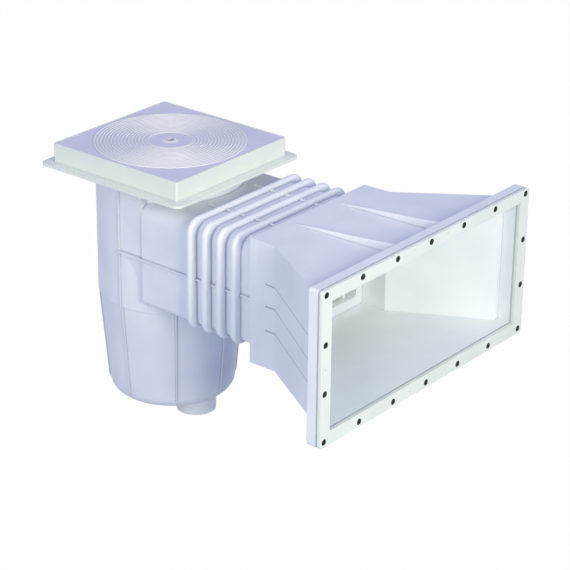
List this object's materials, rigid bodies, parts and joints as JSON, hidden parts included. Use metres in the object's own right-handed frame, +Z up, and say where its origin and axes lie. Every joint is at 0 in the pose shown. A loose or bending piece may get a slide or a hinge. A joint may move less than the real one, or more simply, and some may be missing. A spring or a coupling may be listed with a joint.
{
  "type": "pool skimmer",
  "caption": "In-ground pool skimmer with a wide rectangular mouth, a ribbed throat, a round tank with a basket and weir flap, and a square deck collar with a lid.",
  "frame": {"origin": "centre of the mouth, in the front plane of the face frame", "axes": "-Y out of the mouth into the pool, +Y towards the tank, +Z up, +X to the right seen from the pool"},
  "size_m": [0.491, 0.6305, 0.4432],
  "materials": {
    "white_plastic": "satin white moulded ABS",
    "face_plastic": "smooth white moulded ABS",
    "basket_plastic": "white polypropylene",
    "foam": "closed-cell foam",
    "stainless_steel": "plain stainless steel",
    "insert_brass": "turned brass",
    "gasket_rubber": "pale grey foam rubber",
    "o_ring_rubber": "black nitrile rubber"
  },
  "bodies": {
    "skimmer": {"skimmer_body": "white_plastic", "mouth_funnel": "white_plastic", "face_frame": "face_plastic", "face_screws": "stainless_steel", "front_gasket": "gasket_rubber", "rear_gasket": "gasket_rubber", "flange_inserts": "insert_brass", "leaf_basket": "basket_plastic", "weir_pins": "stainless_steel", "port_plug": "face_plastic", "plug_o_ring": "o_ring_rubber", "trimmer_washer": "stainless_steel", "trimmer_screw": "stainless_steel"},
    "deck_collar": {"deck_frame": "white_plastic", "deck_lid": "face_plastic"},
    "weir": {"weir_flap": "face_plastic", "weir_float": "foam", "weir_float_cap": "face_plastic"},
    "handle": {"basket_handle": "basket_plastic"},
    "trimmer": {"flow_trimmer": "basket_plastic"}
  },
  "joints": [
    {"name": "deck_collar_slide", "type": "slide", "parent": "skimmer", "child": "deck_collar", "axis": [0, 0, 1], "range_m": [0, 0.02]},
    {"name": "weir_hinge", "type": "hinge", "parent": "skimmer", "child": "weir", "pos_m": [0, 0.229, -0.068], "axis": [1, 0, 0], "range_deg": [0, 86]},
    {"name": "handle_hinge", "type": "hinge", "parent": "skimmer", "child": "handle", "pos_m": [0, 0.49, -0.104], "axis": [1, 0, 0], "range_deg": [0, 180]},
    {"name": "trimmer_turn", "type": "hinge", "parent": "skimmer", "child": "trimmer", "pos_m": [0, 0.49, -0.263], "axis": [0, 0, 1], "range_deg": [0, 180]}
  ]
}
